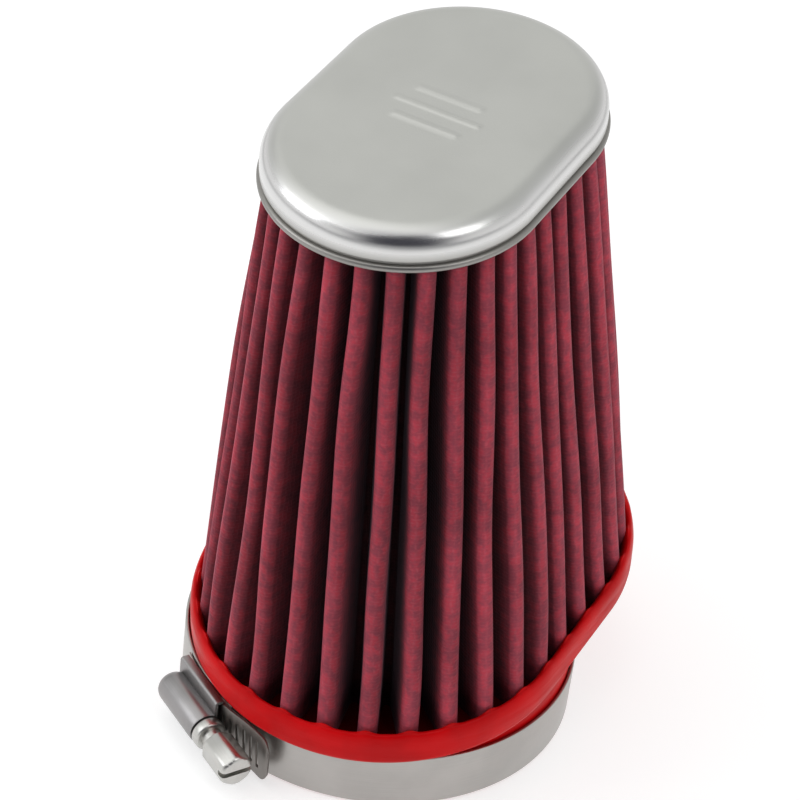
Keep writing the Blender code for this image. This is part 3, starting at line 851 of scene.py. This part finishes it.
def build_base():
    columns = PLEATS * 14
    shares = FIRST_PLEAT + np.arange(columns) / columns
    point, normal = oval(BASE_HALF_STRAIGHT, FOOT_RADIUS, shares)
    wave = 0.5 + 0.5 * np.cos(2 * math.pi * PLEATS * (shares - FIRST_PLEAT))
    peaks = wave**3
    wall = BASE_RADIUS - FOOT_RADIUS
    profile = []
    for step in range(7):
        angle = math.pi / 2 * step / 6
        out = wall - RIM_ROUND * (1 - math.sin(angle))
        profile.append((out, RIM_UNDERSIDE + RIM_ROUND * (1 - math.cos(angle))))
    profile.append((wall, 17.6))
    shoulder = 19.6
    for step in range(8):
        angle = math.pi / 2 * step / 7
        out = wall - (1 - math.cos(angle))
        rise = RIM_TOP - shoulder + 0.25 * peaks
        profile.append((out, shoulder + rise * math.sin(angle)))
    profile += [
        (0.25, RIM_TOP - 0.05 + 0.35 * peaks),
        (0.02, RIM_TOP - 0.15 + 0.7 * peaks),
        (-0.35, RIM_TOP - 0.6 + 0.9 * peaks),
        (-0.85, RIM_TOP - 1.7 + 0.9 * peaks),
        (-1.3, POCKET_FLOOR + 0.9),
        (-2.2, POCKET_FLOOR),
        (-14.6, POCKET_FLOOR),
    ]
    rows = [level_row(moved_out(point, normal, out), height) for out, height in profile]
    # Painted shade on the bed inside the rim, part way on the row at its edge
    pocket = [np.full(columns, 1.0 if out < -1.0 else 0.0) for out, height in profile]
    pocket[-4][:] = 0.35
    rim = skin("rim", rows, values={"pocket": pocket})
    edge = 0.6
    neck = leaning_cylinder(
        "neck",
        [
            (NECK_RADIUS - edge, 0.0),
            (NECK_RADIUS - edge * 0.3, edge * 0.3),
            (NECK_RADIUS, edge),
        ],
        NECK_RADIUS,
        RIM_UNDERSIDE + 1.6,
    )
    bore = leaning_cylinder("bore", [(BORE_RADIUS, -2.0)], BORE_RADIUS, RIM_UNDERSIDE + 0.6)
    shares = np.arange(160) / 160
    port_rows = []
    port_profile = (
        (RIM_UNDERSIDE - 2.0, 0.0),
        (POCKET_FLOOR - 0.6, 0.0),
        (POCKET_FLOOR + 1.0, 1.6),
    )
    for height, out in port_profile:
        outline, _ = oval(PORT_HALF_STRAIGHT, PORT_RADIUS + out, shares)
        outline[:, 0] += PORT_OFFSET
        port_rows.append(level_row(outline, height))
    port = skin("port", port_rows)
    steps = [("UNION", neck, None), ("DIFFERENCE", bore, None), ("DIFFERENCE", port, BODY)]
    mesh = carved(rim, steps, 35.0, BODY)
    show("base_moulding", mesh, RED_PU, "filter", ["base_flange"], BODY)


# ---------------------------------------------------------------- clamp
def clamp_place():
    """Frame on the clamp: X outward, Y along the strip towards the screw head, Z up."""
    turn = Matrix.Rotation(CLAMP_ANGLE, 4, "Z")
    return turn @ Matrix.Translation((WORM_AXIS * MM, 0.0, BAND_MIDDLE * MM))


def build_band():
    profile = rounded_box(BAND_INNER, BAND_OUTER, BAND_LOW, BAND_HIGH, 0.22)
    mesh = turned("band", profile, 240)
    show("clamp_band_strip", mesh, STEEL_STRIP, "clamp", ["clamp_band"])


def tail_lift(arc):
    """How far the tail's free end has sprung off the band at an arc length."""
    past = max(0.0, arc - TAIL_LIFT_FROM) / (TAIL_FREE - TAIL_LIFT_FROM)
    return TAIL_LIFT * past * past


def curved_strip(name, inner, thickness, start, finish, steps, sprung=False, end_round=0.0):
    """Strip wrapped round the neck's axis between two arc lengths from the clamp's middle."""
    rows = []
    uv = []
    section = rounded_box(0.0, thickness, -1.0, 1.0, 0.12, 2)
    for arc in np.linspace(start, finish, steps + 1):
        rise = tail_lift(arc) if sprung else 0.0
        past = max(0.0, arc - (finish - end_round)) / end_round if end_round else 0.0
        half = STRIP_HALF_WIDTH * math.sqrt(max(0.04, 1 - 0.7 * past * past))
        angle = CLAMP_ANGLE + arc / (inner + thickness / 2)
        row = []
        row_uv = []
        for out, side in section:
            radius = inner + out + rise
            reach = math.copysign(half - (1 - abs(side)), side)
            row.append((radius * math.cos(angle), radius * math.sin(angle), BAND_MIDDLE + reach))
            row_uv.append((arc, reach))
        rows.append(row)
        uv.append(row_uv)
    return skin(name, rows, uv=uv)


def build_saddle():
    mesh = curved_strip("saddle", SADDLE_INNER, 0.4, -9.2, 9.2, 24)
    show("clamp_saddle_plate", mesh, STEEL_STRIP, "clamp", ["clamp_saddle"])


def build_tail():
    strip = curved_strip("tail", TAIL_INNER, 0.6, TAIL_BACK, TAIL_FREE, 60, True, 2.2)
    steps = []
    for slot in range(SLOTS):
        arc = TAIL_BACK + 1.6 + slot * SLOT_PITCH
        outline = rounded_box(-0.45, 0.45, -3.2, 3.2, 0.44, 4)
        rows = []
        for depth in (-2.0, 2.5):
            rows.append([(depth, a, b) for a, b in outline])
        cutter = skin("slot", rows)
        turn = Matrix.Rotation(CLAMP_ANGLE + arc / (TAIL_INNER + 0.3), 4, "Z")
        reach = TAIL_INNER + 0.3 + tail_lift(arc)
        place = turn @ Matrix.Translation((reach * MM, 0.0, BAND_MIDDLE * MM))
        place = place @ Matrix.Rotation(math.radians(7.0), 4, "X")
        steps.append(("DIFFERENCE", cutter, place))
    mesh = carved(strip, steps, 40.0)
    show("clamp_tail_strip", mesh, TAIL_STEEL_PAINTED_SHADE, "tail", ["clamp_tail"])


def arch(radius, level, steps=20):
    """Points of the arch over the worm that lie above a level, from -Z to +Z."""
    start = math.asin(max(-0.99, (level - WORM_AXIS) / radius))
    points = []
    for step in range(steps + 1):
        angle = (math.pi - 2 * start) * (step / steps - 0.5)
        points.append((WORM_AXIS + radius * math.cos(angle), radius * math.sin(angle)))
    return points


def housing_outline(shrink):
    """Cross-section of the housing; shrink lowers the arch at the closed back end."""
    outer = ARCH_INNER + HOUSING_SHEET - shrink
    roof = ROOF_INNER + HOUSING_SHEET
    inner_side = HOUSING_HALF_WIDTH - HOUSING_SHEET
    side_round = 0.5
    outline = [(RAIL_FOOT, -HOUSING_HALF_WIDTH), (roof - side_round, -HOUSING_HALF_WIDTH)]
    for step in range(1, 4):
        angle = math.pi / 2 * step / 3
        outline.append(
            (
                roof - side_round + side_round * math.sin(angle),
                -HOUSING_HALF_WIDTH + side_round * (1 - math.cos(angle)),
            )
        )
    outline += arch(outer, roof)
    for step in range(3, 0, -1):
        angle = math.pi / 2 * step / 3
        outline.append(
            (
                roof - side_round + side_round * math.sin(angle),
                HOUSING_HALF_WIDTH - side_round * (1 - math.cos(angle)),
            )
        )
    outline += [(roof - side_round, HOUSING_HALF_WIDTH), (RAIL_FOOT, HOUSING_HALF_WIDTH)]
    outline += [(RAIL_FOOT, inner_side), (ROOF_INNER, inner_side)]
    outline += arch(ARCH_INNER - 0.75 * shrink, ROOF_INNER)[::-1]
    outline += [(ROOF_INNER, -inner_side), (RAIL_FOOT, -inner_side)]
    return outline


def build_housing():
    half = HOUSING_LENGTH / 2
    stations = [(-half, 0.95), (-half + 0.25, 0.6), (-half + 0.7, 0.28), (-half + 1.3, 0.08)]
    stations += [(-half + 2.0, 0.0), (0.0, 0.0), (half - 0.3, 0.0), (half, 0.12)]
    rows = []
    uv = []
    for along, shrink in stations:
        outline = housing_outline(shrink)
        rows.append([(out - WORM_AXIS, along, side) for out, side in outline])
        uv.append([(along, side) for out, side in outline])
    mesh = skin("housing", rows, uv=uv, sharp=32.0)
    place = clamp_place()
    nodes = ["clamp_housing"]
    show("clamp_housing_sheet", mesh, HOUSING_STEEL_PAINTED_SHADE, "clamp", nodes, place)


def thread_radius(turn, angles):
    """Radius of the thread at a number of turns along the worm, round its axis."""
    phase = np.mod(turn + angles / (2 * math.pi), 1.0)
    ridge = np.clip(1.5 * (1.0 - np.abs(phase - 0.5) / 0.34), 0.0, 1.0)
    return WORM_ROOT + (WORM_CREST - WORM_ROOT) * ridge


def hexagon_radius(flat, angles, corner):
    """Radius of a hexagon with its corners turned down to a share over the flats."""
    sector = np.mod(angles + math.pi / 6, math.pi / 3) - math.pi / 6
    return np.minimum(flat / np.cos(sector), flat * corner)


def build_screw():
    around = 72
    angles = np.arange(around) * 2 * math.pi / around
    rows = []
    uv = []

    def ring(radius, along):
        radius = np.broadcast_to(radius, around)
        across = radius * np.cos(angles)
        rows.append(np.column_stack([across, np.full(around, along), radius * np.sin(angles)]))
        uv.append(np.column_stack([angles * 3.0, np.full(around, along + float(radius.mean()))]))

    start = -WORM_PITCH * WORM_TURNS / 2
    ring(1.2, start - 0.6)
    ring(1.6, start - 0.5)
    per_turn = 14
    for row in range(WORM_TURNS * per_turn + 1):
        turn = row / per_turn
        fade = min(1.0, turn, WORM_TURNS - turn)
        depth = thread_radius(turn, angles) - WORM_ROOT
        ring(WORM_ROOT + depth * fade, start + turn * WORM_PITCH)
    collar = HOUSING_LENGTH / 2 + 0.3
    shank = collar + COLLAR_LENGTH
    head = shank + SHANK_LENGTH
    end = head + HEAD_LENGTH
    ring(WORM_ROOT, collar)
    rounding = ((0.45, 0.0), (0.2, 0.1), (0.05, 0.3), (0.0, 0.55))
    for inset, along in rounding:
        ring(COLLAR_RADIUS - inset, collar + along)
    for inset, along in rounding[::-1]:
        ring(COLLAR_RADIUS - inset, shank - along)
    ring(SHANK_RADIUS, shank + 0.02)
    ring(SHANK_RADIUS, head - 0.02)
    flat = HEAD_FLATS / 2
    ring(hexagon_radius(flat - 0.5, angles, 1.02), head)
    ring(hexagon_radius(flat - 0.15, angles, 1.05), head + 0.25)
    ring(hexagon_radius(flat, angles, 1.07), head + 0.6)
    ring(hexagon_radius(flat, angles, 1.07), end - 1.0)
    ring(hexagon_radius(flat - 0.06, angles, 1.05), end - 0.6)
    ring(hexagon_radius(flat - 0.25, angles, 1.03), end - 0.25)
    ring(hexagon_radius(flat - 0.6, angles, 1.01), end - 0.05)
    ring(hexagon_radius(flat - 0.9, angles, 1.0), end)
    body = skin("screw", rows, uv=uv, sharp=30.0)
    outline = rounded_box(-DRIVER_SLOT / 2, DRIVER_SLOT / 2, -SLOT_DEPTH, SLOT_DEPTH, 0.15, 2)
    cutter = skin("driver_slot", [[(x, end + b, a) for a, b in outline] for x in (-8.0, 8.0)])
    mesh = carved(body, [("DIFFERENCE", cutter, None)], 32.0)
    place = clamp_place()
    show("worm_screw_turned", mesh, SCREW_METAL, "worm", ["worm_screw"], place)


# ---------------------------------------------------------------- stage
def add_camera():
    azimuth, elevation = VIEW_AZIMUTH, VIEW_ELEVATION
    back = Vector(
        (
            math.cos(elevation) * math.cos(azimuth),
            math.cos(elevation) * math.sin(azimuth),
            math.sin(elevation),
        )
    )
    right = (-back).cross(Vector((0.0, 0.0, 1.0))).normalized()
    up = back.cross(right)
    level_right = math.cos(VIEW_ROLL) * right + math.sin(VIEW_ROLL) * up
    level_up = math.cos(VIEW_ROLL) * up - math.sin(VIEW_ROLL) * right
    turn = Matrix((level_right, level_up, back)).transposed().to_4x4()
    place = Matrix.Translation((Vector(VIEW_TARGET) + VIEW_DISTANCE * back) * MM)
    data = bpy.data.cameras.new("view")
    data.sensor_width = 36.0
    data.lens = VIEW_LENS
    data.clip_start = 0.01
    camera = bpy.data.objects.new("view", data)
    camera.matrix_world = BODY @ place @ turn
    bpy.context.scene.collection.objects.link(camera)
    bpy.context.scene.camera = camera


def add_light(name, place, aim, size, power, colour):
    """Rectangular area light turned towards a point."""
    data = bpy.data.lights.new(name, "AREA")
    data.shape = "RECTANGLE"
    data.size, data.size_y = size
    data.energy = power
    data.color = colour
    light = bpy.data.objects.new(name, data)
    light.location = place
    light.rotation_euler = (Vector(aim) - Vector(place)).to_track_quat("-Z", "Y").to_euler()
    bpy.context.scene.collection.objects.link(light)


def add_floor():
    points = []
    faces = []
    places = [FLOOR_SIDE * (step / FLOOR_STEPS - 0.5) for step in range(FLOOR_STEPS + 1)]
    for y in places:
        for x in places:
            points.append((x, y, FLOOR_LEVEL))
    for row in range(FLOOR_STEPS):
        for column in range(FLOOR_STEPS):
            low = row * len(places) + column
            high = low + len(places)
            faces.append((low, low + 1, high + 1, high))
    mesh = bpy.data.meshes.new("floor")
    mesh.from_pydata(points, [], faces)
    mesh.materials.append(floor_material())
    floor = bpy.data.objects.new("floor", mesh)
    bpy.context.scene.collection.objects.link(floor)


def add_world():
    """Pale room that dims upward, with a dark card on the viewer's side."""
    world = bpy.data.worlds.new("studio")
    world.use_nodes = True
    background = world.node_tree.nodes["Background"]
    tree = world.node_tree
    direction = add(tree, "TexCoord").outputs["Generated"]

    def along(axis):
        part = add(tree, "VectorMath", operation="DOT_PRODUCT")
        feed(tree, part.inputs[0], direction)
        part.inputs[1].default_value = axis
        return part.outputs["Value"]

    facing = ramp(tree, along(DARK_SIDE), 0.0, 1.0, 0.45, 0.75)
    beside = calc(tree, "ABSOLUTE", along((-DARK_SIDE[1], DARK_SIDE[0], 0.0)))
    dark = calc(tree, "MULTIPLY", facing, ramp(tree, beside, 1.0, 0.0, 0.3, 0.75))
    rising = ramp(tree, along((0.0, 0.0, 1.0)), 0.0, 1.0, 0.0, 0.6)
    pale = blend(tree, rising, (0.98, 0.98, 0.98), (0.62, 0.63, 0.62))
    feed(tree, background.inputs["Color"], blend(tree, dark, pale, (0.03, 0.03, 0.045)))
    background.inputs["Strength"].default_value = 1.0
    bpy.context.scene.world = world


CAP_METAL = cap_material()
WIRE = wire_cloth_material()
GAUZE = cotton_material()
RED_PU = polyurethane_material("red_polyurethane", (0.60, 0.002, 0.004), (0.48, 0.0015, 0.003))
POTTING = polyurethane_material("potting_compound", (0.34, 0.012, 0.018), (0.24, 0.008, 0.012))
STEEL_STRIP = steel_material("stainless_strip", STRIP_COLOUR, 0.30, 0.44, 0)
# The housing and the tail: the strip's steel in darker copies, painted shade
HOUSING_STEEL_PAINTED_SHADE = steel_material("stainless_housing_painted_shade", HOUSING_PAINTED_SHADE_COLOUR, 0.28, 0.42, 0)
TAIL_STEEL_PAINTED_SHADE = steel_material("stainless_tail_painted_shade", TAIL_PAINTED_SHADE_COLOUR, 0.38, 0.5, 0)
SCREW_METAL = steel_material("screw_steel", SCREW_COLOUR, 0.26, 0.38, 1)

build_cap()
build_potting()
build_pack()
build_base()
build_band()
build_saddle()
build_tail()
build_housing()
build_screw()

add_camera()
add_world()
add_floor()
for softbox in SOFTBOXES:
    add_light(*softbox)
bpy.context.scene.view_settings.view_transform = "Standard"
